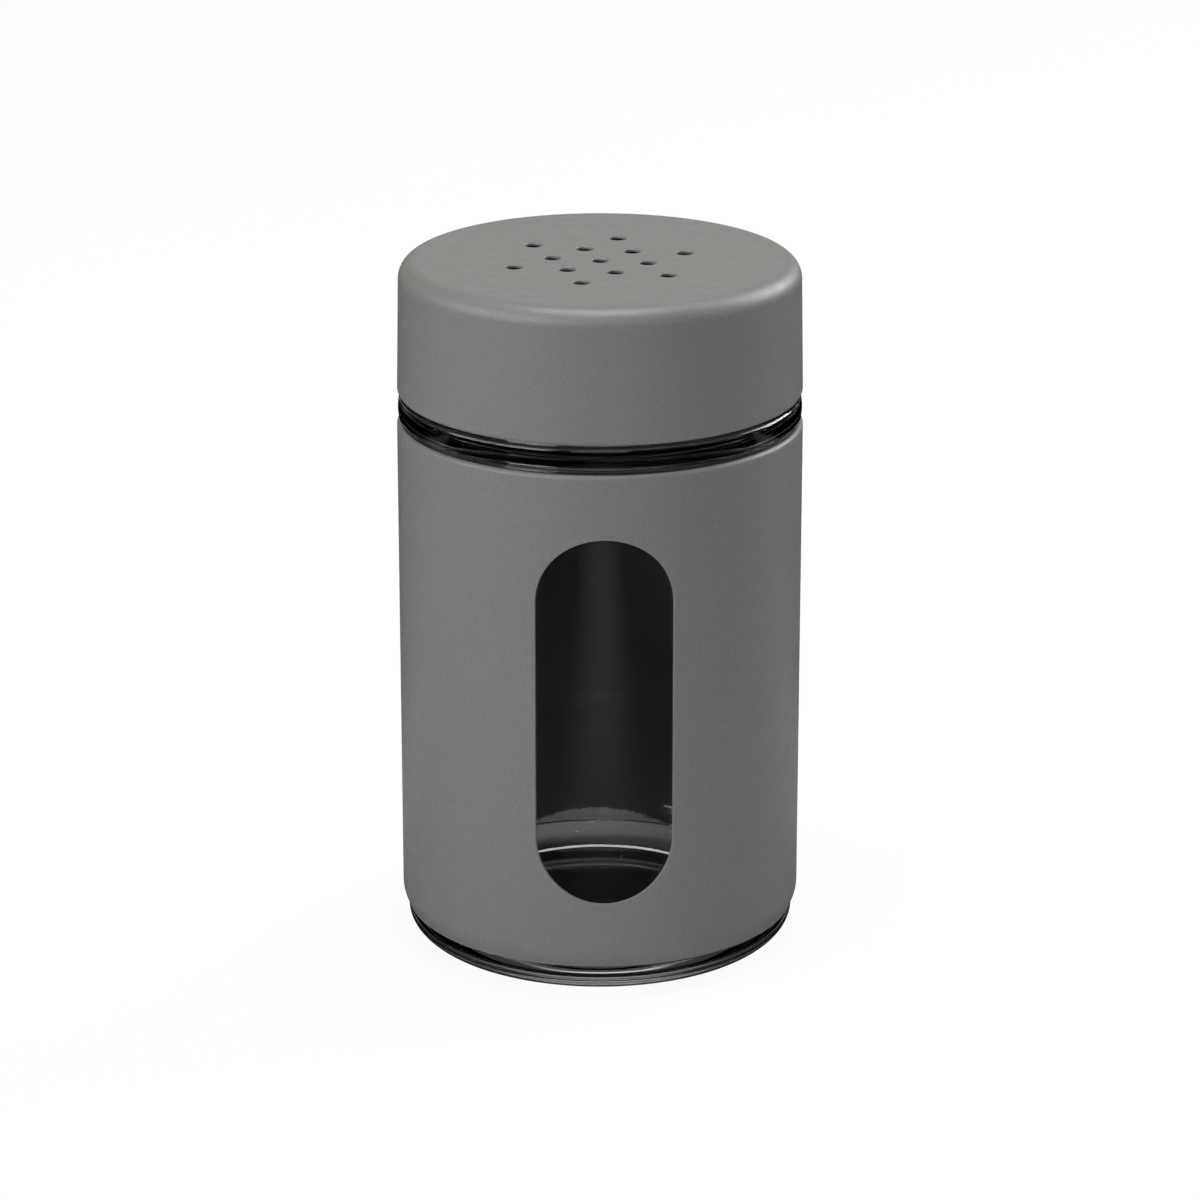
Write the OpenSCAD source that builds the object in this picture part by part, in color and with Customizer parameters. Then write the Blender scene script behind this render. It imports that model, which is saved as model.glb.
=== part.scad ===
// Parmesan shaker: a clear glass jar in a coated steel sleeve with a long window,
// closed by a coated steel cap that unscrews and has shaking holes in its top.
// Millimetres. Z is up, the origin is the middle of the foot on the table,
// and the window faces the negative Y side.

/* [Sleeve] */
// Outer diameter of the steel sleeve
sleeve_d = 70; // [60:0.5:80]
// Sheet thickness of the sleeve
sleeve_wall = 0.5; // [0.3:0.05:0.8]
// Height of the sleeve from its lip to its top edge
sleeve_h = 88.3; // [82:0.1:100]
// Height of the sleeve's lip above the table
sleeve_foot_z = 5.8; // [5.2:0.1:8]
// Gap between the rolled-in top edge and the glass
roll_gap = 0.1; // [0.05:0.01:0.2]
// How far the foot of the sleeve is necked in to its lip
foot_neck_in = 0.9; // [0.5:0.05:1.4]
// Radius of the outward curve where the neck-in starts
foot_round_r = 5.7; // [3:0.1:8]
// Radius of the inward curve just above the lip
foot_lip_r = 0.7; // [0.4:0.05:1.5]
// Straight height of the lip
foot_lip_h = 0.15; // [0.1:0.05:0.5]

/* [Window] */
// Width of the window, measured straight across
window_w = 23.4; // [16:0.2:30]
// Distance from the window's upper end to the sleeve's top edge
window_drop = 11.15; // [6:0.05:24]
// Height of the window's lower end above the sleeve's lip
window_rise = 11.95; // [10:0.05:24]

/* [Jar] */
// Gap between the glass and the inside of the sleeve
glass_clear = 0.4; // [0.3:0.05:0.6]
// Thickness of the jar's side wall
jar_wall = 3.1; // [2.4:0.1:3.6]
// Height of the inside floor at its edge
floor_z = 6.5; // [4.4:0.1:8]
// How much the inside floor rises in the middle
floor_crown = 0.8; // [0.2:0.1:1.2]
// Width of the curve between the floor and the wall
corner_w = 9; // [4:0.1:11]
// Height of the curve between the floor and the wall
corner_h = 8; // [3:0.1:10]
// How far the foot of the glass stands back from the sleeve's lip
foot_inset = 0.1; // [0.05:0.05:0.2]
// Width of the curve at the heel
heel_w = 6.4; // [4:0.1:8]
// Height of the curve at the heel
heel_h = 4.8; // [3:0.1:4.9]
// Width of the ring that the jar stands on
bearing_w = 1.8; // [1:0.1:3]
// Height of the hollow under the base
push_up = 1.2; // [0.8:0.1:2.4]
// Rounding of the ledge that carries the sleeve
ledge_round = 0.2; // [0.1:0.05:0.35]

/* [Shoulder and mouth] */
// Open groove between the sleeve's top edge and the glass band
groove_h = 0.75; // [0.5:0.05:1.2]
// How far the glass band stands out from the body of the jar
band_out = 0.6; // [0.4:0.05:0.8]
// How much the band swells in the middle
band_crown = 0.12; // [0.05:0.01:0.2]
// Height of the band up to the flat shoulder
band_h = 3.95; // [3:0.05:6]
// Rounding between the band and the shoulder
shoulder_round = 0.9; // [0.5:0.05:1.5]
// Rounding of the band's lower edge
band_round = 0.3; // [0.15:0.05:0.4]
// Rounding where the mouth rises from the shoulder
root_round = 0.9; // [0.5:0.05:1]
// Wall thickness of the mouth
mouth_wall = 3; // [2.4:0.1:3.6]
// Rounding of the rim
rim_round = 0.7; // [0.4:0.05:1]

/* [Cap] */
// How far the cap's lower edge stands back from the sleeve's side
cap_inset = 0.08; // [0:0.01:1]
// How much the cap's side leans in from its lower edge to its top corner
cap_draft = 0.39; // [0.1:0.01:1]
// Height of the cap
cap_h = 23.2; // [21:0.1:30]
// Sheet thickness of the cap
cap_wall = 0.5; // [0.3:0.05:0.7]
// Outer radius of the corner between side and top
cap_corner_r = 3.2; // [2:0.1:4]
// How much the top is dished
cap_dish = 0.4; // [0.1:0.05:0.8]
// Outer radius of the rolled hem
hem_r = 0.9; // [0.75:0.05:1.1]
// Straight height of the hem inside the cap
hem_leg = 0.3; // [0.1:0.05:0.6]
// Gap between the closed cap and the glass shoulder
cap_gap = 0.33; // [0.25:0.01:0.8]

/* [Holes] */
// Diameter of a shaking hole
hole_d = 2.88; // [1.5:0.02:3.6]
// Radius of the inner ring of holes
ring_in_r = 8.32; // [6:0.02:10]
// Radius of the outer ring of holes
ring_out_r = 15.36; // [12:0.02:18]
// Number of holes in each ring
ring_count = 6; // [4:1:6]
// Turn of the hole pattern against the window
ring_turn = -12.9; // [-30:0.1:30]

/* [Insert] */
// Gap between the insert and the inside of the cap
insert_fit = 0.1; // [0.05:0.01:0.2]
// Thickness of the insert's outer skirt
skirt_wall = 1; // [0.8:0.1:1.3]
// Open gap between the two skirts, which the ribs bridge
skirt_gap = 1.9; // [1.2:0.1:2.4]
// Thickness of the skirt that carries the thread
thread_wall = 1.3; // [1:0.1:1.6]
// Height of the thread on the jar
thread_h = 1.1; // [0.8:0.05:1.4]
// Gap between the jar's thread and the skirt round it
thread_clear = 0.3; // [0.25:0.05:0.5]
// Height of the thread skirt's lower edge above the cap's
skirt_rise = 0.85; // [0.6:0.05:2]
// Thickness of the web over the mouth
web_t = 1.5; // [1:0.1:2]
// How far the web lies below the curve of the cap's corner
web_drop = 1.1; // [0.4:0.1:3]
// Number of ribs between the skirts
rib_count = 24; // [12:1:36]
// Thickness of a rib
rib_t = 0.9; // [0.6:0.1:1.2]
// How far the ribs end above the outer skirt's lower edge
rib_recess = 1.2; // [0.5:0.1:3]
// Gap between the plug ring and the bore of the mouth
plug_clear = 0.8; // [0.5:0.1:1]
// Thickness of the plug ring
plug_wall = 1.2; // [0.9:0.1:1.5]
// How far the plug ring reaches into the mouth
plug_depth = 1; // [0.5:0.1:2]

/* [Seal] */
// Thickness of the seal
seal_t = 1.5; // [1:0.1:2]
// Rounding of the seal's edges
seal_round = 0.3; // [0.2:0.05:0.4]
// Gap between the seal and the insert's round walls
seal_clear = 0.3; // [0.2:0.05:0.4]

/* [Hidden] */
$fn = 96;

// Steps along each quarter round or other curve of an outline
curve_steps = 10;
// Overrun of every cut past the surface that it leaves
cut_over = 1;
// Share of the inside shoulder's width that its rounding into the mouth takes
mouth_round_share = 0.4;

// Radii of the sleeve and the jar's body
sleeve_r = sleeve_d / 2;
lip_r = sleeve_r - foot_neck_in;
glass_offset = sleeve_wall + glass_clear;
body_r = sleeve_r - glass_offset;
inner_r = body_r - jar_wall;
foot_r = lip_r - foot_inset;
top_roll_r = glass_offset - roll_gap;
band_r = body_r + band_out;
bearing_out_r = foot_r - heel_w;
bearing_in_r = bearing_out_r - bearing_w;

// The necked-in foot is two arcs that meet at one slope
foot_slope = acos(1 - foot_neck_in / (foot_round_r + foot_lip_r));
lip_top_z = sleeve_foot_z + foot_lip_h;
foot_round_z = lip_top_z + (foot_round_r + foot_lip_r) * sin(foot_slope);

// Heights, from the table up
sleeve_top_z = sleeve_foot_z + sleeve_h;
window_z = sleeve_foot_z + window_rise;
window_h = sleeve_h - window_rise - window_drop;
band_z = sleeve_top_z + groove_h;
shoulder_z = band_z + band_h;
cap_z = shoulder_z + cap_gap;
cap_top_z = cap_z + cap_h;
cap_corner_z = cap_top_z - cap_corner_r;
web_top_z = cap_corner_z - web_drop;
web_z = web_top_z - web_t;
rim_z = web_z - seal_t;
thread_skirt_z = cap_z + skirt_rise;
outer_skirt_z = cap_z + hem_r + hem_leg + insert_fit;
plug_z = rim_z - plug_depth;

// Radii from the cap inwards to the mouth
cap_r = sleeve_r - cap_inset;
cap_top_r = cap_r - cap_draft;
cap_flat_r = cap_top_r - cap_corner_r;
cap_side_z = cap_z + hem_r;
skirt_in_r = cap_top_r - cap_wall - insert_fit - skirt_wall;
thread_skirt_out_r = skirt_in_r - skirt_gap;
thread_skirt_in_r = thread_skirt_out_r - thread_wall;
mouth_r = thread_skirt_in_r - thread_clear - thread_h;
bore_r = mouth_r - mouth_wall;
plug_r = bore_r - plug_clear;
opening_r = plug_r - plug_wall;
seal_in_r = plug_r + seal_clear;
seal_out_r = thread_skirt_in_r - seal_clear;

// The inside shoulder: a rounding into the mouth, then a hollow into the wall
mouth_round_r = mouth_round_share * (inner_r - bore_r);
hollow_r = inner_r - bore_r - mouth_round_r;
hollow_z = shoulder_z - mouth_round_r - hollow_r;

// Points along part of an oval about a centre; a circle has both radii alike
function oval(c, rx, ry, a0, a1) =
    [for (i = [0:curve_steps])
        let (a = a0 + (a1 - a0) * i / curve_steps)
        [c[0] + rx * cos(a), c[1] + ry * sin(a)]];
function arc(c, r, a0, a1) = oval(c, r, r, a0, a1);
function backwards(list) = [for (i = [len(list) - 1:-1:0]) list[i]];

// A shallow bowl from the axis out to a radius, with a height in the middle
function bowl(r, z, rise) =
    [for (i = [0:curve_steps])
        let (t = i / curve_steps)
        [r * t, z + rise * (1 - t * t)]];

// The sleeve's side from the lip up, moved inwards by a distance
function foot_curve(inwards) = concat(
    arc([lip_r + foot_lip_r, lip_top_z], foot_lip_r + inwards, 180, 180 - foot_slope),
    arc([sleeve_r - foot_round_r, foot_round_z], foot_round_r - inwards, -foot_slope, 0));
function sleeve_side(inwards) = concat(
    [[lip_r - inwards, sleeve_foot_z]],
    foot_curve(inwards),
    arc([sleeve_r - top_roll_r, sleeve_top_z - top_roll_r], top_roll_r - inwards, 0, 90));

// The cap's sheet from the hem to the middle of the top, moved inwards by a distance
function cap_side(inwards) = concat(
    [[cap_r - 2 * hem_r + inwards, cap_side_z + hem_leg]],
    arc([cap_r - hem_r, cap_side_z], hem_r - inwards, 180, 360),
    arc([cap_flat_r, cap_corner_z], cap_corner_r - inwards, 0, 90),
    backwards(bowl(cap_flat_r, cap_top_z - inwards, -cap_dish)));

// Radius of the inside of the cap's drafted side at a height
function cap_inside_r(z) =
    cap_r - cap_wall - (cap_r - cap_top_r) * (z - cap_side_z) / (cap_corner_z - cap_side_z);

// The jar's outside, from the middle of the hollow base up to the rim
function jar_outside() = concat(
    bowl(bearing_in_r, 0, push_up),
    oval([bearing_out_r, heel_h], heel_w, heel_h, -90, 0),
    arc([foot_r - ledge_round, sleeve_foot_z - ledge_round], ledge_round, 0, 90),
    [[lip_r - glass_offset, sleeve_foot_z]],
    foot_curve(glass_offset),
    [[body_r, band_z - band_round]],
    arc([body_r + band_round, band_z - band_round], band_round, 180, 90),
    arc([band_r - band_round, band_z + band_round], band_round, -90, 0),
    [for (i = [1:curve_steps])
        let (t = i / curve_steps)
        [band_r + band_crown * sin(180 * t),
            band_z + band_round + (band_h - band_round - shoulder_round) * t]],
    arc([band_r - shoulder_round, shoulder_z - shoulder_round], shoulder_round, 0, 90),
    arc([mouth_r + root_round, shoulder_z + root_round], root_round, 270, 180),
    arc([mouth_r - rim_round, rim_z - rim_round], rim_round, 0, 90));

// The jar's inside, from the rim down to the middle of the floor
function jar_inside() = concat(
    arc([bore_r + rim_round, rim_z - rim_round], rim_round, 90, 180),
    arc([bore_r + mouth_round_r, shoulder_z], mouth_round_r, 180, 270),
    arc([inner_r - hollow_r, hollow_z], hollow_r, 90, 0),
    oval([inner_r - corner_w, floor_z + corner_h], corner_w, corner_h, 0, -90),
    backwards(bowl(inner_r - corner_w, floor_z, floor_crown)));

module glass_jar() {
    color([0.84, 0.92, 0.9, 0.4])
        rotate_extrude()
            polygon(concat(jar_outside(), jar_inside()));
}

// An upright slot with round ends, cut through the front of the sleeve only
module window_cut() {
    end_r = window_w / 2;
    translate([0, 0, window_z + end_r])
        rotate([90, 0, 0]) {
            cylinder(r = end_r, h = sleeve_r + cut_over);
            translate([0, window_h - window_w, 0])
                cylinder(r = end_r, h = sleeve_r + cut_over);
            translate([-end_r, 0, 0])
                cube([window_w, window_h - window_w, sleeve_r + cut_over]);
        }
}

module window_sleeve() {
    color([0.42, 0.42, 0.41])
        difference() {
            rotate_extrude()
                polygon(concat(sleeve_side(0), backwards(sleeve_side(sleeve_wall))));
            window_cut();
        }
}

module shaking_hole() {
    translate([0, 0, cap_top_z - cap_dish - cap_wall - cut_over])
        cylinder(d = hole_d, h = cap_dish + cap_wall + 2 * cut_over);
}

// One hole in the middle, a ring round it, and a wider ring set half a step on
module hole_pattern() {
    step = 360 / ring_count;
    shaking_hole();
    for (i = [0:ring_count - 1]) {
        rotate([0, 0, ring_turn + step * i])
            translate([ring_in_r, 0, 0])
                shaking_hole();
        rotate([0, 0, ring_turn + step * (i + 0.5)])
            translate([ring_out_r, 0, 0])
                shaking_hole();
    }
}

module cap_shell() {
    color([0.45, 0.45, 0.44])
        difference() {
            rotate_extrude()
                polygon(concat(cap_side(0), backwards(cap_side(cap_wall))));
            hole_pattern();
        }
}

// A ring with square edges between two radii and two heights
module ring_section(r_in, r_out, z_low, z_high) {
    translate([r_in, z_low])
        square([r_out - r_in, z_high - z_low]);
}

// The drafted outer skirt, which fills the cap from the hem to under the corner
module outer_skirt_section() {
    polygon([
        [skirt_in_r, outer_skirt_z],
        [cap_inside_r(outer_skirt_z) - insert_fit, outer_skirt_z],
        [cap_inside_r(web_top_z) - insert_fit, web_top_z],
        [skirt_in_r, web_top_z]
    ]);
}

module insert_ribs() {
    rib_z = outer_skirt_z + rib_recess;
    for (i = [0:rib_count - 1])
        rotate([0, 0, 360 / rib_count * i])
            translate([thread_skirt_out_r - thread_wall / 2, -rib_t / 2, rib_z])
                cube([skirt_gap + (thread_wall + skirt_wall) / 2, rib_t, web_z + web_t / 2 - rib_z]);
}

module thread_insert() {
    color([0.09, 0.09, 0.09]) {
        rotate_extrude() {
            outer_skirt_section();
            ring_section(thread_skirt_in_r, thread_skirt_out_r, thread_skirt_z, web_top_z);
            ring_section(opening_r, skirt_in_r + skirt_wall / 2, web_z, web_top_z);
            ring_section(opening_r, plug_r, plug_z, web_top_z);
            ring_section(cap_flat_r - skirt_wall, cap_flat_r, web_z, cap_top_z - cap_wall - insert_fit);
        }
        insert_ribs();
    }
}

module seal_ring() {
    color([0.86, 0.86, 0.83])
        rotate_extrude()
            polygon(concat(
                arc([seal_out_r - seal_round, rim_z + seal_round], seal_round, -90, 0),
                arc([seal_out_r - seal_round, web_z - seal_round], seal_round, 0, 90),
                arc([seal_in_r + seal_round, web_z - seal_round], seal_round, 90, 180),
                arc([seal_in_r + seal_round, rim_z + seal_round], seal_round, 180, 270)));
}

glass_jar();
window_sleeve();
cap_shell();
thread_insert();
seal_ring();
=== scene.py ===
"""A parmesan shaker: a clear glass jar in a coated steel sleeve with a long window, and a pierced screw cap."""

import math

import bmesh
import bpy
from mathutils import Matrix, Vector


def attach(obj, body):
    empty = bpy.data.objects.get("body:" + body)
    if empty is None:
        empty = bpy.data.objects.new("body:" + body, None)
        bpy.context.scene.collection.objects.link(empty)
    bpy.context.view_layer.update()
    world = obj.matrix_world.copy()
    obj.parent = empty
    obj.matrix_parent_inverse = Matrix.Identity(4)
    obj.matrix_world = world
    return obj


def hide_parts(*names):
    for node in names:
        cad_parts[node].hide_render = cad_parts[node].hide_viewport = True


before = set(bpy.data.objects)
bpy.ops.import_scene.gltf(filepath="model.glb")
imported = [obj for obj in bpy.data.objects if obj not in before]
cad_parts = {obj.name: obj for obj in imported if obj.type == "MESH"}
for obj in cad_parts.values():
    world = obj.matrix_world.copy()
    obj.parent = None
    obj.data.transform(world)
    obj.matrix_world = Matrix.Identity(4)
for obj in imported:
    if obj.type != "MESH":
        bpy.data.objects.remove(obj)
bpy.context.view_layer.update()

# Sizes are in millimetres, as in the part's source, where a comment doesn't say otherwise
MM = 0.001
TURN = 2 * math.pi

# The sleeve: its sheet, lip and foot, its rolled top edge, the rounding of its cut edges, and its window
SLEEVE_R = 35.0
SLEEVE_WALL = 0.5
SLEEVE_TOP = 94.1
LIP_Z = 5.8
LIP_R = 34.1
LIP_STRAIGHT = 0.15
FOOT_ROUND = 5.7
LIP_ROUND = 0.7
ROLL_R = 0.8
CUT_ROUND = 0.2
WINDOW_W = 23.4
WINDOW_LOW = 17.75
WINDOW_HIGH = 82.95

# The bare primer inside the sleeve: its top edge, how far that wanders, where it fades, and its fall to the sides
PRIMER_Z = 8.5
PRIMER_WANDER = 1.2
PRIMER_FADE = (0.9, 0.3)
PRIMER_FALL = 0.012

# The jar: its wall, floor and foot, the ledge under the sleeve, the band above it, the shoulder and the mouth
GLASS_BEHIND = 0.9
BODY_R = 34.1
INNER_R = 31.0
FLOOR_Z = 6.5
FLOOR_CROWN = 0.8
CORNER_W = 9.0
CORNER_H = 8.0
FOOT_R = 34.0
HEEL_W = 6.4
HEEL_H = 4.8
BEARING_W = 1.8
PUSH_UP = 1.2
LEDGE_ROUND = 0.2
BAND_Z = 94.85
BAND_R = 34.7
BAND_CROWN = 0.12
BAND_ROUND = 0.3
SHOULDER_Z = 98.8
SHOULDER_ROUND = 0.9
ROOT_ROUND = 0.9
MOUTH_R = 28.33
BORE_R = 25.33
RIM_Z = 115.03
RIM_ROUND = 0.7
MOUTH_ROUND = 2.268
HOLLOW_R = 3.402

# The chill wrinkles inside the jar: the heights and radii where they begin and where they are full
CHILL_BOTTOM = (5.9, 6.4)
CHILL_TOP = (9.0, 7.5)
CHILL_INNER = (21.0, 24.0)
CHILL_OUTER = (32.4, 31.4)

# The cap: its drafted side, its corner and dished top, its hem, and its holes with their turn in degrees
CAP_Z = 99.13
CAP_TOP = 122.33
CAP_R = 34.92
CAP_TOP_R = 34.53
CAP_WALL = 0.5
CAP_CORNER = 3.2
CAP_FLAT_R = CAP_TOP_R - CAP_CORNER
CAP_DISH = 0.4
HEM_R = 0.9
HEM_LEG = 0.3
CAP_SIDE_Z = CAP_Z + HEM_R
HOLE_R = 1.44
HOLE_ROLL = 0.22
RING_RADII = (8.32, 15.36)
RING_COUNT = 6
RING_TURN = -12.9

# The insert with its skirts, web, plug ring, standoff and ribs, and the seal under it
INSERT_FIT = 0.1
INSERT_ROUND = 0.18
OUTER_SKIRT_IN_R = 32.93
OUTER_SKIRT_Z = 100.43
THREAD_SKIRT_R = (29.73, 31.03)
THREAD_SKIRT_Z = 99.98
WEB_Z = (116.53, 118.03)
PLUG_R = (23.33, 24.53)
PLUG_Z = 114.03
STANDOFF_R = (30.33, 31.33)
RIB_COUNT = 24
RIB_T = 0.9
RIB_Z = 101.63
RIB_ROUND = 0.12
RIB_SUNK = 0.5
SEAL_R = (24.83, 29.43)
SEAL_ROUND = 0.3

# The two threads: the heights of the ridges' middles, their section, and their steps in a turn and at each end
THREAD_LEAD = 5.0
THREAD_H = 1.1
NECK_THREAD_Z = (105.2, 112.7)
INSERT_THREAD_Z = (101.2, 108.7)
THREAD_BELOW = 1.45
THREAD_KEY = 0.15
THREAD_FOOT = 1.05
THREAD_CREST = 0.35
THREAD_EASE = 0.15
THREAD_STEPS = 120
THREAD_RUN_OUT = 10

# How finely round shapes, arcs and small roundings are divided
ROUND_STEPS = 256
ARC_STEPS = 12
SMALL_STEPS = 6
# How near to the edge of a sheet counts as its edge, and within how many metres points are merged
NEAR = 0.01
CLOSE = 1e-6

# The soft lamps: name, degrees round from the front to the right, degrees above the table, watts, seen through glass
LAMPS = (
    ("left_softbox", -81.3, 25.0, 4.7, False),
    ("key_softbox", -46.3, 25.0, 6.7, True),
    ("front_softbox", -1.3, 30.0, 2.0, False),
    ("right_softbox", 124.0, 30.0, 12.8, False),
    ("top_softbox", -1.3, 88.0, 14.9, False),
)
# The lamps' width and distance in metres, and the height that they point at
LAMP_SIZE = 0.7
LAMP_AWAY = 1.3
LAMP_AIM = 60.0

# What glass and coat see: a dim room and a white backdrop; its edges are parts of the line of sight, back and up
SURROUND_DIM = 0.04
BACKDROP_BEHIND = (0.88, 0.96)
BACKDROP_TOP = (0.6, 0.5)
# The black flag across the backdrop: its lower and its upper edge
FLAG_LOW = (0.03, 0.05)
FLAG_HIGH = (0.26, 0.22)

# The floor in metres: its radius, the painted pool of light that glass sees in front, and the painted strip of lit
# floor behind the middle, past the jar's painted shadow
FLOOR_R = 6.0
POOL_PLACE = (0.0, -0.2, 0.0)
POOL_SIZE = (0.07, 0.15, 1.0)
POOL_LEVEL = 0.11
LIT_STRIP_NEAR = (0.01, 0.05)
LIT_STRIP_FAR = (0.12, 0.08)
LIT_STRIP_LEVEL = 0.18
# How much of the floor is pure white to the camera; the rest keeps the lamps' shadows
PAPER_LIFT = 0.94

# The camera: its place, its tilt down and its turn to the right in degrees, its lens, and its range in metres
CAMERA_PLACE = (-17.80, -778.61, 323.91)
CAMERA_TILT = 18.67
CAMERA_TURN = 1.31
CAMERA_LENS = 141.06
CAMERA_SENSOR = 36.0
CAMERA_RANGE = (0.01, 50.0)

# The Mix node's two colour inputs and its colour output, which share their names with its other sockets
MIX_A = 6
MIX_B = 7
MIX_COLOUR = 2


def linear(code):
    """The linear colour of an sRGB hex code, with full alpha."""
    parts = [int(code[i:i + 2], 16) / 255 for i in (0, 2, 4)]
    return tuple(c / 12.92 if c <= 0.04045 else ((c + 0.055) / 1.055) ** 2.4 for c in parts) + (1.0,)


def grains(size):
    """The scale of a pattern from the size of its grains in millimetres."""
    return 1 / (size * MM)


def connect(material, node, links):
    """Links a node's inputs to outputs; a node given in place of an output stands for its first one."""
    for name, source in links.items():
        output = source if isinstance(source, bpy.types.NodeSocket) else source.outputs[0]
        material.node_tree.links.new(output, node.inputs[name])


def add_node(material, kind, settings=None, links=None):
    """Adds a shader node, sets its values, and links its inputs."""
    node = material.node_tree.nodes.new(kind)
    for name, value in (settings or {}).items():
        if isinstance(name, int) or name in node.inputs:
            node.inputs[name].default_value = value
        else:
            setattr(node, name, value)
    connect(material, node, links or {})
    return node


def new_material(name, values):
    """An empty material, its Principled shader with the values given, and the coordinates of the piece."""
    material = bpy.data.materials.new(name)
    material.use_nodes = True
    material.node_tree.nodes.clear()
    shader = add_node(material, "ShaderNodeBsdfPrincipled", values)
    return material, shader, add_node(material, "ShaderNodeTexCoord").outputs["Object"]


def within(material, edges, unit=1.0):
    """1 inside all the soft edges given, and 0 outside; an edge is a value, and where it gives 0 and 1."""
    inside = None
    for value, none, full in edges:
        edge = add_node(material, "ShaderNodeMapRange", {"interpolation_type": "SMOOTHSTEP", "From Min": none * unit,
                                                         "From Max": full * unit}, {"Value": value})
        if inside is not None:
            edge = add_node(material, "ShaderNodeMath", {"operation": "MULTIPLY"}, {0: inside, 1: edge})
        inside = edge
    return inside


def powder_coat(name):
    """Polyester powder coat on steel: sprayed dry and baked, so it flows into a fine orange peel and stays matt."""
    material, shader, place = new_material(name, {"IOR": 1.5})
    # The real grains are near 0.1 mm and are drawn at 0.3 mm to show; the melt leaves slower waves of 3 mm
    grain = add_node(material, "ShaderNodeTexNoise", {"Scale": grains(0.3), "Detail": 3.0, "Roughness": 0.6},
                     {"Vector": place})
    peel = add_node(material, "ShaderNodeTexNoise", {"Scale": grains(3.0), "Detail": 2.0}, {"Vector": place})
    tone = add_node(material, "ShaderNodeMix", {"data_type": "RGBA", MIX_A: linear("5E5D5B"),
                                                MIX_B: linear("807F7D")}, {"Factor": grain})
    gloss = add_node(material, "ShaderNodeMapRange", {"From Min": 0.3, "From Max": 0.7, "To Min": 0.38,
                                                      "To Max": 0.48}, {"Value": peel})
    fine = add_node(material, "ShaderNodeBump", {"Strength": 0.8, "Distance": 0.05 * MM}, {"Height": grain})
    both = add_node(material, "ShaderNodeBump", {"Strength": 0.3, "Distance": 0.04 * MM},
                    {"Height": peel, "Normal": fine})
    connect(material, shader, {"Base Color": tone.outputs[MIX_COLOUR], "Roughness": gloss, "Normal": both})
    add_node(material, "ShaderNodeOutputMaterial", links={"Surface": shader})
    return material


def inside_lacquer():
    """Black epoxy lacquer on the sleeve's inner side, which leaves the pale primer bare above the foot."""
    material, shader, place = new_material("inside_black_lacquer", {})
    # The primer reaches highest opposite the window and ends in a ragged line, with grains of 0.8 mm
    across = add_node(material, "ShaderNodeSeparateXYZ", links={"Vector": place}).outputs
    square = add_node(material, "ShaderNodeMath", {"operation": "MULTIPLY"}, {0: across["X"], 1: across["X"]})
    height = add_node(material, "ShaderNodeMath", {"operation": "MULTIPLY_ADD", 1: PRIMER_FALL / MM},
                      {0: square, 2: across["Z"]})
    ragged = add_node(material, "ShaderNodeTexNoise", {"Scale": grains(0.8), "Detail": 4.0}, {"Vector": place})
    edge = add_node(material, "ShaderNodeMath", {"operation": "MULTIPLY_ADD", 1: PRIMER_WANDER * MM},
                    {0: ragged, 2: height})
    primer = within(material, [(edge, PRIMER_Z + PRIMER_FADE[0], PRIMER_Z + PRIMER_FADE[1])], MM)
    # The primer was sprayed thinly, so it covers unevenly in clouds of 7 mm
    spray = add_node(material, "ShaderNodeTexNoise", {"Scale": grains(7.0), "Detail": 2.0}, {"Vector": place})
    cover = add_node(material, "ShaderNodeMapRange", {"From Min": 0.35, "From Max": 0.6, "To Min": 0.7,
                                                      "To Max": 1.0}, {"Value": spray})
    share = add_node(material, "ShaderNodeMath", {"operation": "MULTIPLY"}, {0: primer, 1: cover})
    tone = add_node(material, "ShaderNodeMix", {"data_type": "RGBA", MIX_A: linear("646464"),
                                                MIX_B: linear("F4F2EE")}, {"Factor": share})
    # The lacquer's film has a sheen that changes over 1.5 mm
    film = add_node(material, "ShaderNodeTexNoise", {"Scale": grains(1.5), "Detail": 3.0}, {"Vector": place})
    gloss = add_node(material, "ShaderNodeMapRange", {"To Min": 0.3, "To Max": 0.45}, {"Value": film})
    bump = add_node(material, "ShaderNodeBump", {"Strength": 0.3, "Distance": 0.01 * MM}, {"Height": film})
    connect(material, shader, {"Base Color": tone.outputs[MIX_COLOUR], "Roughness": gloss, "Normal": bump})
    add_node(material, "ShaderNodeOutputMaterial", links={"Surface": shader})
    return material


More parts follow.
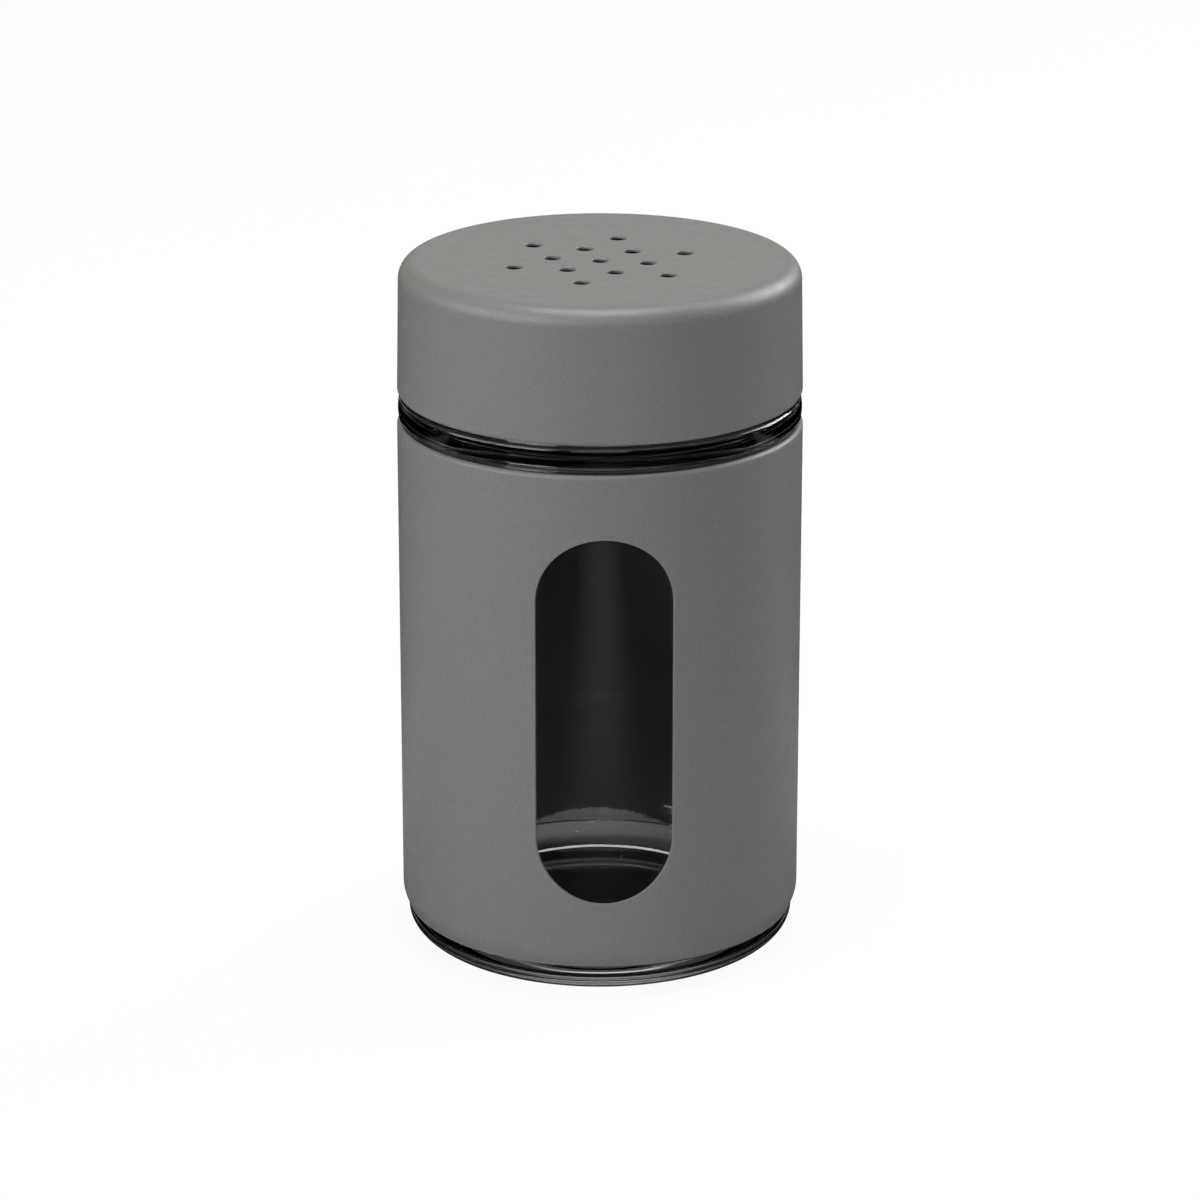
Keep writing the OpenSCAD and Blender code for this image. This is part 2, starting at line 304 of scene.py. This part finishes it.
def pressed_glass():
    """Soda-lime glass, pressed and blown in an iron mould and fire-polished: clear, wavy, wrinkled at the base."""
    material, shader, place = new_material("pressed_soda_lime_glass", {
        "Base Color": linear("FAFBFA"), "Transmission Weight": 1.0, "Roughness": 0.0, "IOR": 1.52})
    # Slow waves of 9 mm all over
    waves = add_node(material, "ShaderNodeTexNoise", {"Scale": grains(9.0), "Detail": 1.0}, {"Vector": place})
    slow = add_node(material, "ShaderNodeBump", {"Strength": 0.25, "Distance": 0.05 * MM}, {"Height": waves})
    # Where the gob first touched the cold mould the inside has chill wrinkles of 2 mm
    chill = add_node(material, "ShaderNodeTexNoise", {"Scale": grains(2.0), "Detail": 3.0}, {"Vector": place})
    height = add_node(material, "ShaderNodeSeparateXYZ", links={0: place}).outputs["Z"]
    flat = add_node(material, "ShaderNodeVectorMath", {"operation": "MULTIPLY", 1: (1, 1, 0)}, {0: place})
    radius = add_node(material, "ShaderNodeVectorMath", {"operation": "LENGTH"}, {0: flat}).outputs["Value"]
    corner = within(material, [(height, *CHILL_BOTTOM), (height, *CHILL_TOP), (radius, *CHILL_INNER),
                               (radius, *CHILL_OUTER)], MM)
    spots = add_node(material, "ShaderNodeMath", {"operation": "MULTIPLY"}, {0: chill, 1: corner})
    wrinkles = add_node(material, "ShaderNodeBump", {"Strength": 0.6, "Distance": 0.25 * MM},
                        {"Height": spots, "Normal": slow})
    connect(material, shader, {"Normal": wrinkles})
    # Lamp light passes straight through, so that it reaches the sleeve's inner side
    paths = add_node(material, "ShaderNodeLightPath").outputs
    clear = add_node(material, "ShaderNodeBsdfTransparent")
    both = add_node(material, "ShaderNodeMixShader", links={0: paths["Is Shadow Ray"], 1: shader, 2: clear})
    add_node(material, "ShaderNodeOutputMaterial", links={"Surface": both})
    return material


def moulded_polypropylene():
    """Black polypropylene from a spark-eroded mould: a soft sheen over a fine grain, drawn at 0.3 mm to show."""
    material, shader, place = new_material("moulded_black_polypropylene", {"Base Color": linear("161616")})
    grain = add_node(material, "ShaderNodeTexNoise", {"Scale": grains(0.3), "Detail": 2.0}, {"Vector": place})
    bump = add_node(material, "ShaderNodeBump", {"Strength": 0.3, "Distance": 0.015 * MM}, {"Height": grain})
    gloss = add_node(material, "ShaderNodeMapRange", {"To Min": 0.36, "To Max": 0.5}, {"Value": grain})
    connect(material, shader, {"Roughness": gloss, "Normal": bump})
    add_node(material, "ShaderNodeOutputMaterial", links={"Surface": shader})
    return material


def milky_silicone():
    """Silicone rubber, moulded without pigment: milky in clouds of 2 mm, matt, and it lets a little light in."""
    material, shader, place = new_material("milky_silicone_rubber", {
        "Roughness": 0.6, "Subsurface Weight": 0.25, "Subsurface Scale": 1.5 * MM})
    cloud = add_node(material, "ShaderNodeTexNoise", {"Scale": grains(2.0), "Detail": 2.0}, {"Vector": place})
    tone = add_node(material, "ShaderNodeMix", {"data_type": "RGBA", MIX_A: linear("C6C6C0"),
                                                MIX_B: linear("D2D2CD")}, {"Factor": cloud})
    connect(material, shader, {"Base Color": tone.outputs[MIX_COLOUR]})
    add_node(material, "ShaderNodeOutputMaterial", links={"Surface": shader})
    return material


def oval(centre, across, up, start, end, steps=ARC_STEPS):
    """Points of an outline along part of an oval, from one angle to another in degrees."""
    turns = [math.radians(start + (end - start) * i / steps) for i in range(steps + 1)]
    return [(centre[0] + across * math.cos(a), centre[1] + up * math.sin(a)) for a in turns]


def arc(centre, radius, start, end, steps=ARC_STEPS):
    """Points of an outline along an arc."""
    return oval(centre, radius, radius, start, end, steps)


def bowl(radius, z, rise, steps=ARC_STEPS):
    """Points of a shallow bowl from the axis out to a radius, with its height in the middle."""
    return [(radius * i / steps, z + rise * (1 - (i / steps) ** 2)) for i in range(steps + 1)]


def deselect():
    """Leaves object mode with nothing selected."""
    if bpy.context.object and bpy.context.object.mode != "OBJECT":
        bpy.ops.object.mode_set(mode="OBJECT")
    bpy.ops.object.select_all(action="DESELECT")


def select_only(piece):
    """Leaves object mode with the piece alone selected and active."""
    deselect()
    piece.select_set(True)
    bpy.context.view_layer.objects.active = piece


def pick(piece, kind, test):
    """Selects only those vertices, edges or faces of the piece in edit mode whose middle passes the test."""
    bpy.context.tool_settings.mesh_select_mode = [kind == k for k in ("verts", "edges", "faces")]
    mesh = bmesh.from_edit_mesh(piece.data)
    bpy.ops.mesh.select_all(action="DESELECT")
    for item in getattr(mesh, kind):
        corners = [item] if kind == "verts" else item.verts
        middle = sum((v.co for v in corners), corners[0].co * 0) / len(corners) / MM
        item.select = bool(test(middle, item))
    mesh.select_flush_mode()
    bmesh.update_edit_mesh(piece.data)


def drawn(name, outline):
    """Draws an outline of radii and heights by extruding a point, and stays in edit mode with all of it selected."""
    deselect()
    bpy.context.tool_settings.mesh_select_mode = (True, False, False)
    bpy.ops.mesh.primitive_plane_add(size=MM)
    piece = bpy.context.object
    piece.name = piece.data.name = name
    bpy.ops.object.mode_set(mode="EDIT")
    bpy.ops.mesh.merge(type="CENTER")
    bpy.ops.transform.translate(value=(outline[0][0] * MM, 0, outline[0][1] * MM))
    for (r0, z0), (r1, z1) in zip(outline, outline[1:]):
        step = ((r1 - r0) * MM, 0, (z1 - z0) * MM)
        bpy.ops.mesh.extrude_vertices_move(TRANSFORM_OT_translate={"value": step})
    bpy.ops.mesh.select_all(action="SELECT")
    return piece


def turned(name, outline, steps=ROUND_STEPS):
    """Spins an outline round the axis, and closes its seam and poles."""
    piece = drawn(name, outline)
    bpy.ops.mesh.spin(steps=steps, angle=TURN, center=(0, 0, 0), axis=(0, 0, 1))
    bpy.ops.mesh.select_all(action="SELECT")
    bpy.ops.mesh.remove_doubles(threshold=CLOSE)
    bpy.ops.mesh.normals_make_consistent(inside=False)
    bpy.ops.object.mode_set(mode="OBJECT")
    return piece


def apply_modifier(piece, kind, **settings):
    """Adds a modifier to the piece and applies it."""
    select_only(piece)
    modifier = piece.modifiers.new(kind.title(), kind)
    for name, value in settings.items():
        setattr(modifier, name, value)
    bpy.ops.object.modifier_apply(modifier=modifier.name)


def round_edges(piece, width, steps, angle=50):
    """Rounds every edge sharper than the angle."""
    apply_modifier(piece, "BEVEL", width=width * MM, segments=steps, limit_method="ANGLE",
                   angle_limit=math.radians(angle), use_clamp_overlap=True)


def smooth(piece, angle=35):
    """Shades the piece smooth, apart from edges sharper than the angle."""
    select_only(piece)
    bpy.ops.object.shade_smooth_by_angle(angle=math.radians(angle))


def finish(piece, body, node, slot, *materials):
    """Gives the piece the materials it lacks and its body, and hides the node that it stands for; the slot of its
    finish is not used.
    """
    for material in materials:
        piece.data.materials.append(material)
    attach(piece, body)
    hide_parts(node)


def foot_curve(inwards):
    """The sleeve's necked-in foot from the lip up to the straight side, moved inwards by a distance."""
    neck_in = SLEEVE_R - LIP_R
    slope = math.degrees(math.acos(1 - neck_in / (FOOT_ROUND + LIP_ROUND)))
    lip_top = LIP_Z + LIP_STRAIGHT
    round_z = lip_top + (FOOT_ROUND + LIP_ROUND) * math.sin(math.radians(slope))
    low = arc((LIP_R + LIP_ROUND, lip_top), LIP_ROUND + inwards, 180, 180 - slope)
    high = arc((SLEEVE_R - FOOT_ROUND, round_z), FOOT_ROUND - inwards, -slope, 0)
    return low + high[1:]


def thread_ridge(name, root_r, height, z_start, z_end, below=0):
    """A thread ridge, extruded up its helix a little below the neck's; both ends run out into the wall behind it."""
    out = math.copysign(1, height)
    section = [(-THREAD_KEY * out, THREAD_FOOT), (0, THREAD_FOOT),
               (height - THREAD_EASE * out, THREAD_CREST + THREAD_EASE), (height, THREAD_CREST)]
    section += [(r, -z) for r, z in section[::-1]]
    ridge = drawn(name, [(root_r + r, z_start + z) for r, z in section])
    bpy.ops.mesh.edge_face_add()
    bpy.ops.transform.rotate(value=-TURN * (z_start + below - NECK_THREAD_Z[0]) / THREAD_LEAD, orient_axis="Z",
                             center_override=(0, 0, 0))
    # How small each step of the ridge is drawn, so that its two ends sink into the wall
    count = round((z_end - z_start) / THREAD_LEAD * THREAD_STEPS)
    sunk = []
    for i in range(count + 1):
        shown = min(1, i / THREAD_RUN_OUT, (count - i) / THREAD_RUN_OUT)
        sunk.append(1 - height / root_r * (1 - math.sin(math.pi / 2 * shown)))
    rise = (0, 0, THREAD_LEAD / THREAD_STEPS * MM)
    bpy.ops.transform.resize(value=(sunk[0], sunk[0], 1), center_override=(0, 0, 0))
    for before, after in zip(sunk, sunk[1:]):
        bpy.ops.mesh.extrude_region_move(TRANSFORM_OT_translate={"value": rise})
        bpy.ops.transform.rotate(value=-TURN / THREAD_STEPS, orient_axis="Z", center_override=(0, 0, 0))
        bpy.ops.transform.resize(value=(after / before, after / before, 1), center_override=(0, 0, 0))
    # The end that is still open gets its face
    pick(ridge, "edges", lambda m, e: len(e.link_faces) < 2)
    bpy.ops.mesh.edge_face_add()
    bpy.ops.mesh.select_all(action="SELECT")
    bpy.ops.mesh.normals_make_consistent(inside=False)
    bpy.ops.object.mode_set(mode="OBJECT")
    return ridge


def fuse(piece, tool):
    """Joins the tool to the piece as one closed skin."""
    apply_modifier(piece, "BOOLEAN", operation="UNION", solver="EXACT", object=tool)
    bpy.data.objects.remove(tool)


def glass_jar():
    """The jar: hollow foot, heel, ledge under the sleeve, straight side, band, shoulder, mouth and inside."""
    heel_steps, ledge_steps, band_steps, corner_steps = 40, 5, 24, 24
    outer_rings, inner_rings = (30, 50, 70, 90), (80, 60, 40, 20)
    outside = (
        bowl(FOOT_R - HEEL_W - BEARING_W, 0, PUSH_UP)
        + oval((FOOT_R - HEEL_W, HEEL_H), HEEL_W, HEEL_H, -90, 0, heel_steps)
        + arc((FOOT_R - LEDGE_ROUND, LIP_Z - LEDGE_ROUND), LEDGE_ROUND, 0, 90, ledge_steps)
        + [(LIP_R - GLASS_BEHIND, LIP_Z)]
        + foot_curve(GLASS_BEHIND)
        + [(BODY_R, z) for z in outer_rings]
        + arc((BODY_R + BAND_ROUND, BAND_Z - BAND_ROUND), BAND_ROUND, 180, 90, SMALL_STEPS)
        + arc((BAND_R - BAND_ROUND, BAND_Z + BAND_ROUND), BAND_ROUND, -90, 0, SMALL_STEPS)
    )
    # The band is crowned between its lower edge and the shoulder
    band_low = BAND_Z + BAND_ROUND
    band_high = SHOULDER_Z - SHOULDER_ROUND
    for i in range(1, band_steps):
        t = i / band_steps
        outside.append((BAND_R + BAND_CROWN * math.sin(math.pi * t), band_low + (band_high - band_low) * t))
    outside += (
        arc((BAND_R - SHOULDER_ROUND, SHOULDER_Z - SHOULDER_ROUND), SHOULDER_ROUND, 0, 90)
        + arc((MOUTH_R + ROOT_ROUND, SHOULDER_Z + ROOT_ROUND), ROOT_ROUND, 270, 180)
        + arc((MOUTH_R - RIM_ROUND, RIM_Z - RIM_ROUND), RIM_ROUND, 0, 90)
    )
    inside = (
        arc((BORE_R + RIM_ROUND, RIM_Z - RIM_ROUND), RIM_ROUND, 90, 180)
        + arc((BORE_R + MOUTH_ROUND, SHOULDER_Z), MOUTH_ROUND, 180, 270)
        + arc((INNER_R - HOLLOW_R, SHOULDER_Z - MOUTH_ROUND - HOLLOW_R), HOLLOW_R, 90, 0)
        + [(INNER_R, z) for z in inner_rings]
        + oval((INNER_R - CORNER_W, FLOOR_Z + CORNER_H), CORNER_W, CORNER_H, 0, -90, corner_steps)
        + bowl(INNER_R - CORNER_W, FLOOR_Z, FLOOR_CROWN)[::-1]
    )
    jar = turned("glass_jar_with_thread", outside + inside)
    fuse(jar, thread_ridge("neck_thread", MOUTH_R, THREAD_H, *NECK_THREAD_Z))
    smooth(jar)
    finish(jar, "jar", "glass_jar", "clear_glass", pressed_glass())


def punched_blank(low, high):
    """The sleeve's flat blank between two heights, a grid with the window punched out, seen from the front."""
    columns, rows, hole_columns, hole_rows = ROUND_STEPS, 48, 34, 40
    bridge_cuts, straight_cuts, margin = 4, 24, 1
    around, tall = TURN * SLEEVE_R, high - low
    middle = (low + high) / 2
    deselect()
    bpy.ops.mesh.primitive_grid_add(x_subdivisions=columns, y_subdivisions=rows, size=MM, rotation=(TURN / 4, 0, 0))
    sleeve = bpy.context.object
    sleeve.name = sleeve.data.name = "coated_window_sleeve"
    bpy.ops.object.transform_apply(location=True, rotation=True, scale=True)
    bpy.ops.object.mode_set(mode="EDIT")
    bpy.ops.transform.resize(value=(around, 1, tall), center_override=(0, 0, 0))
    bpy.ops.transform.translate(value=(0, 0, middle * MM))
    # A rectangle a little larger than the window comes out of the grid
    half_w = hole_columns / 2 * around / columns
    row_h = tall / rows
    first_row = round(((WINDOW_LOW + WINDOW_HIGH) / 2 - low) / row_h - hole_rows / 2)
    hole_low, hole_high = low + first_row * row_h, low + (first_row + hole_rows) * row_h
    pick(sleeve, "faces", lambda m, f: abs(m.x) < half_w and hole_low < m.z < hole_high)
    bpy.ops.mesh.delete(type="FACE")
    # The window's outline: a ring, drawn out in the middle, with as many points as the rectangle
    half_arc = SLEEVE_R * math.asin(WINDOW_W / 2 / SLEEVE_R)
    end_h = WINDOW_W / 2
    straight = WINDOW_HIGH - WINDOW_LOW - 2 * end_h
    ring = 2 * (hole_columns + hole_rows) - 2 * straight_cuts
    turn_half = TURN / ring / 2
    low_end = (0, 0, (WINDOW_LOW + end_h) * MM)
    bpy.ops.mesh.select_all(action="DESELECT")
    bpy.ops.mesh.primitive_circle_add(vertices=ring, radius=end_h * MM, rotation=(TURN / 4, 0, 0), location=low_end)
    bpy.ops.transform.rotate(value=turn_half, orient_axis="Y", center_override=low_end)
    bpy.ops.transform.resize(value=(half_arc / end_h / math.cos(turn_half), 1, 1), center_override=low_end)
    pick(sleeve, "verts", lambda m, v: not v.link_faces and m.z > WINDOW_LOW + end_h)
    bpy.ops.transform.translate(value=(0, 0, straight * MM))
    pick(sleeve, "edges", lambda m, e: not e.link_faces and e.calc_length() > straight * MM)
    bpy.ops.mesh.subdivide(number_cuts=straight_cuts)
    # The ring is bridged to the rectangle from in front of it, and then all is pressed flat
    pick(sleeve, "verts", lambda m, v: not v.link_faces)
    bpy.ops.transform.translate(value=(0, -straight * MM, 0))
    pick(sleeve, "edges", lambda m, e: len(e.link_faces) < 2 and abs(m.x) < half_w + margin
         and low + NEAR < m.z < high - NEAR)
    bpy.ops.mesh.bridge_edge_loops(number_cuts=bridge_cuts, interpolation="LINEAR")
    bpy.ops.mesh.select_all(action="SELECT")
    bpy.ops.transform.resize(value=(1, 0, 1), center_override=(0, 0, 0))
    bpy.ops.mesh.normals_make_consistent(inside=False)
    if bmesh.from_edit_mesh(sleeve.data).faces[:][0].normal.y > 0:
        bpy.ops.mesh.flip_normals()
    bpy.ops.object.mode_set(mode="OBJECT")
    return sleeve


def window_sleeve(coat, lining):
    """The sleeve: a punched blank rolled round, necked in at the foot and rolled in on top, then given its wall."""
    side = foot_curve(0)
    low, high = side[-1][1], SLEEVE_TOP - ROLL_R
    sleeve = punched_blank(low, high)
    apply_modifier(sleeve, "SIMPLE_DEFORM", deform_method="BEND", deform_axis="Z", angle=TURN)
    bpy.ops.object.mode_set(mode="EDIT")
    bpy.ops.mesh.select_all(action="SELECT")
    bpy.ops.transform.translate(value=(0, -SLEEVE_R * MM, 0))
    bpy.ops.mesh.remove_doubles(threshold=10 * CLOSE)
    # The foot is necked in and the top edge is rolled in, ring by ring
    roll = arc((SLEEVE_R - ROLL_R, high), ROLL_R, 0, 90)
    for edge_z, path in ((low, side[::-1] + [(LIP_R, LIP_Z)]), (high, roll)):
        pick(sleeve, "edges", lambda m, e: len(e.link_faces) < 2 and abs(m.z - edge_z) < NEAR)
        for (r0, z0), (r1, z1) in zip(path, path[1:]):
            bpy.ops.mesh.extrude_region_move(TRANSFORM_OT_translate={"value": (0, 0, (z1 - z0) * MM)})
            bpy.ops.transform.resize(value=(r1 / r0, r1 / r0, 1), center_override=(0, 0, 0))
    bpy.ops.object.mode_set(mode="OBJECT")
    # The inner side of the sheet takes the second material
    sleeve.data.materials.append(coat)
    sleeve.data.materials.append(lining)
    apply_modifier(sleeve, "SOLIDIFY", thickness=SLEEVE_WALL * MM, offset=-1, use_even_offset=True,
                   material_offset=1)
    round_edges(sleeve, CUT_ROUND, 3)
    smooth(sleeve)
    finish(sleeve, "jar", "window_sleeve", "coated_sleeve")


def cap_side(inwards):
    """The cap's sheet from the hem to the middle of the top, moved inwards by a distance."""
    side_steps, round_steps = 8, 16
    return (
        [(CAP_R - 2 * HEM_R + inwards, CAP_SIDE_Z + HEM_LEG)]
        + arc((CAP_R - HEM_R, CAP_SIDE_Z), HEM_R - inwards, 180, 360, round_steps)
        + [(CAP_R - inwards - (CAP_R - CAP_TOP_R) * t / side_steps,
            CAP_SIDE_Z + (CAP_TOP - CAP_CORNER - CAP_SIDE_Z) * t / side_steps) for t in range(1, side_steps)]
        + arc((CAP_FLAT_R, CAP_TOP - CAP_CORNER), CAP_CORNER - inwards, 0, 90, round_steps)
        + bowl(CAP_FLAT_R, CAP_TOP - inwards, -CAP_DISH, round_steps)[::-1][1:]
    )


def cap_shell(coat):
    """The cap: drawn from sheet with a hem rolled inside, then pierced by round punches that leave rounded rims."""
    outer = cap_side(0)
    shell = turned("coated_cap_shell", outer + cap_side(CAP_WALL)[::-1] + outer[:1])
    # The punch: straight, flaring where it enters, so the sheet bends down into each hole
    punch_up, punch_down, flare_w, flare_end, punch_steps = 1.0, 1.2, 0.6, 105, 48
    flare = arc((HOLE_R + HOLE_ROLL, -HOLE_ROLL), HOLE_ROLL, 180, flare_end, SMALL_STEPS)
    outline = [(0, -punch_down), (HOLE_R, -punch_down)] + flare
    outline += [(flare[-1][0] + flare_w, punch_up), (0, punch_up)]
    punch = turned("punch", outline, punch_steps)
    # One hole in the middle, and two rings, the second half a step on from the first
    step = 360 / RING_COUNT
    places = [(0, 0)]
    places += [(r, RING_TURN + step * (i + k / 2)) for k, r in enumerate(RING_RADII) for i in range(RING_COUNT)]
    punches = []
    for r, turn in places:
        copy = punch.copy()
        copy.data = punch.data.copy()
        bpy.context.collection.objects.link(copy)
        height = CAP_TOP - CAP_DISH * (1 - (r / CAP_FLAT_R) ** 2)
        a = math.radians(turn)
        copy.location = (r * math.cos(a) * MM, r * math.sin(a) * MM, height * MM)
        punches.append(copy)
    select_only(punches[0])
    for item in punches:
        item.select_set(True)
    bpy.ops.object.join()
    tool = bpy.context.object
    apply_modifier(shell, "BOOLEAN", operation="DIFFERENCE", solver="EXACT", object=tool)
    bpy.data.objects.remove(tool)
    bpy.data.objects.remove(punch)
    smooth(shell)
    apply_modifier(shell, "WEIGHTED_NORMAL", keep_sharp=True, weight=90)
    finish(shell, "cap", "cap_shell", "coated_cap", coat)


def thread_insert():
    """The insert: one moulding with two skirts, ribs between them, a web, a plug ring and a standoff."""
    def cap_inside(z):
        drafted = (CAP_R - CAP_TOP_R) * (z - CAP_SIDE_Z) / (CAP_TOP - CAP_CORNER - CAP_SIDE_Z)
        return CAP_R - CAP_WALL - drafted - INSERT_FIT

    (thread_in, thread_out), (web_low, web_high) = THREAD_SKIRT_R, WEB_Z
    top = CAP_TOP - CAP_WALL - INSERT_FIT
    outline = [
        (PLUG_R[0], PLUG_Z), (PLUG_R[1], PLUG_Z), (PLUG_R[1], web_low), (thread_in, web_low),
        (thread_in, THREAD_SKIRT_Z), (thread_out, THREAD_SKIRT_Z), (thread_out, web_low),
        (OUTER_SKIRT_IN_R, web_low), (OUTER_SKIRT_IN_R, OUTER_SKIRT_Z), (cap_inside(OUTER_SKIRT_Z), OUTER_SKIRT_Z),
        (cap_inside(web_high), web_high), (STANDOFF_R[1], web_high), (STANDOFF_R[1], top), (STANDOFF_R[0], top),
        (STANDOFF_R[0], web_high), (PLUG_R[0], web_high), (PLUG_R[0], PLUG_Z),
    ]
    insert = turned("black_thread_insert", outline)
    round_edges(insert, INSERT_ROUND, 2)
    # The ribs: one bar, copied round the axis, with its ends inside the two skirts
    deselect()
    rib_in, rib_out, rib_top = thread_out - RIB_SUNK, OUTER_SKIRT_IN_R + RIB_SUNK, web_low + RIB_SUNK
    bpy.ops.mesh.primitive_cube_add(size=MM)
    ribs = bpy.context.object
    bpy.ops.object.mode_set(mode="EDIT")
    bpy.ops.transform.resize(value=(rib_out - rib_in, RIB_T, rib_top - RIB_Z))
    bpy.ops.mesh.bevel(offset=RIB_ROUND * MM, segments=2)
    bpy.ops.transform.translate(value=((rib_in + rib_out) / 2 * MM, 0, (RIB_Z + rib_top) / 2 * MM))
    bpy.ops.mesh.select_all(action="SELECT")
    bpy.ops.mesh.spin(steps=RIB_COUNT, dupli=True, angle=TURN, center=(0, 0, 0), axis=(0, 0, 1))
    bpy.ops.mesh.select_all(action="SELECT")
    bpy.ops.mesh.remove_doubles(threshold=CLOSE)
    bpy.ops.object.mode_set(mode="OBJECT")
    fuse(insert, ribs)
    fuse(insert, thread_ridge("insert_thread", thread_in, -THREAD_H, *INSERT_THREAD_Z, THREAD_BELOW))
    smooth(insert)
    finish(insert, "cap", "thread_insert", "black_plastic", moulded_polypropylene())


def seal_ring():
    """The seal: a flat silicone ring with rounded edges."""
    inner, outer = SEAL_R[0] + SEAL_ROUND, SEAL_R[1] - SEAL_ROUND
    low, high = RIM_Z + SEAL_ROUND, WEB_Z[0] - SEAL_ROUND
    outline = []
    for corner, start in (((outer, low), -90), ((outer, high), 0), ((inner, high), 90), ((inner, low), 180)):
        outline += arc(corner, SEAL_ROUND, start, start + 90, SMALL_STEPS)
    ring = turned("silicone_seal_ring", outline + outline[:1])
    smooth(ring)
    finish(ring, "seal", "seal_ring", "seal_rubber", milky_silicone())


def camera_and_glass(material):
    """Two switches: 1 for what the camera sees itself, and 1 for what glass and coat mirror or let through."""
    paths = add_node(material, "ShaderNodeLightPath").outputs
    glass = add_node(material, "ShaderNodeMath", {"operation": "MAXIMUM"},
                     {0: paths["Is Glossy Ray"], 1: paths["Is Transmission Ray"]})
    return paths["Is Camera Ray"], glass.outputs[0]


def paper_floor():
    """Matt white paper: pure white to the camera; glass sees it dark as painted shade, with a painted pool of light
    and a painted strip of lit floor.
    """
    paper, shader, place = new_material("white_paper_floor", {"Base Color": linear("F2F2F2"), "Roughness": 0.9})
    to_camera, to_glass = camera_and_glass(paper)
    # The painted strip of lit floor lies across the floor from left to right, and the painted pool of light is an
    # oval
    depth = add_node(paper, "ShaderNodeSeparateXYZ", links={0: place}).outputs["Y"]
    # Painted light and shade: glass sees the floor lit only in the strip behind the jar and in the pool, and dark
    # elsewhere, the jar's painted shadow included
    lit_strip = add_node(paper, "ShaderNodeMath", {"operation": "MULTIPLY", 1: LIT_STRIP_LEVEL},
                     {0: within(paper, [(depth, *LIT_STRIP_NEAR), (depth, *LIT_STRIP_FAR)])})
    pool = add_node(paper, "ShaderNodeMapping", {"vector_type": "TEXTURE", "Location": POOL_PLACE,
                                                 "Scale": POOL_SIZE}, {"Vector": place})
    away = add_node(paper, "ShaderNodeVectorMath", {"operation": "LENGTH"}, {0: pool}).outputs["Value"]
    level = add_node(paper, "ShaderNodeMath", {"operation": "MULTIPLY_ADD", 1: POOL_LEVEL},
                     {0: within(paper, [(away, 1.0, 0.0)]), 2: lit_strip})
    shaded = add_node(paper, "ShaderNodeBsdfDiffuse", links={"Color": level})
    seen = add_node(paper, "ShaderNodeMixShader", links={0: to_glass, 1: shader, 2: shaded})
    # A strength of 1 is white
    glow = add_node(paper, "ShaderNodeEmission", {"Color": (1, 1, 1, 1), "Strength": 1.0})
    lift = add_node(paper, "ShaderNodeMath", {"operation": "MULTIPLY", 1: PAPER_LIFT}, {0: to_camera})
    both = add_node(paper, "ShaderNodeMixShader", links={0: lift, 1: seen, 2: glow})
    add_node(paper, "ShaderNodeOutputMaterial", links={"Surface": both})
    return paper


def surround():
    """A white surround to the camera; glass sees a dim room and a white backdrop with a black flag across it."""
    world = bpy.data.worlds.new("white_surround")
    bpy.context.scene.world = world
    world.use_nodes = True
    world.node_tree.nodes.clear()
    to_camera, to_glass = camera_and_glass(world)
    # Object coordinates are the direction of sight here: forwards and up
    sight = add_node(world, "ShaderNodeTexCoord").outputs["Object"]
    axes = add_node(world, "ShaderNodeSeparateXYZ", links={0: sight}).outputs
    flag = within(world, [(axes["Z"], *FLAG_LOW), (axes["Z"], *FLAG_HIGH)])
    backdrop = within(world, [(axes["Y"], *BACKDROP_BEHIND), (axes["Z"], *BACKDROP_TOP), (flag, 1.0, 0.0)])
    room = add_node(world, "ShaderNodeMapRange", {"interpolation_type": "SMOOTHSTEP", "To Min": SURROUND_DIM},
                    {"Value": backdrop})
    seen = add_node(world, "ShaderNodeMath", {"operation": "MULTIPLY"}, {0: room, 1: to_glass})
    level = add_node(world, "ShaderNodeMath", {"operation": "MAXIMUM"}, {0: to_camera, 1: seen})
    light = add_node(world, "ShaderNodeBackground", {"Color": (1, 1, 1, 1)}, {"Strength": level})
    add_node(world, "ShaderNodeOutputWorld", links={"Surface": light})


def studio():
    """A pale floor, a white surround, and large soft lamps."""
    deselect()
    bpy.ops.mesh.primitive_circle_add(vertices=64, radius=FLOOR_R, fill_type="NGON")
    floor = bpy.context.object
    floor.name = "studio_floor"
    floor.data.materials.append(paper_floor())
    surround()
    for name, around, above, power, through_glass in LAMPS:
        lamp = bpy.data.lights.new(name, "AREA")
        lamp.shape = "SQUARE"
        lamp.size = LAMP_SIZE
        lamp.energy = power
        item = bpy.data.objects.new(name, lamp)
        bpy.context.collection.objects.link(item)
        aside, up = math.radians(around), math.radians(above)
        away = Vector((math.cos(up) * math.sin(aside), -math.cos(up) * math.cos(aside), math.sin(up)))
        item.location = away * LAMP_AWAY + Vector((0, 0, LAMP_AIM * MM))
        item.rotation_euler = away.to_track_quat("Z", "Y").to_euler()
        item.visible_transmission = through_glass


def camera():
    """A long lens from the front, a little above, as in the photograph."""
    view = bpy.data.cameras.new("camera")
    view.lens = CAMERA_LENS
    view.sensor_width = CAMERA_SENSOR
    view.clip_start, view.clip_end = CAMERA_RANGE
    item = bpy.data.objects.new("camera", view)
    bpy.context.collection.objects.link(item)
    item.location = [size * MM for size in CAMERA_PLACE]
    item.rotation_euler = (math.radians(90 - CAMERA_TILT), 0, math.radians(-CAMERA_TURN))
    bpy.context.scene.camera = item


camera()
studio()
glass_jar()
window_sleeve(powder_coat("sleeve_powder_coat"), inside_lacquer())
cap_shell(powder_coat("cap_powder_coat"))
thread_insert()
seal_ring()
bpy.context.scene.view_settings.view_transform = "Standard"
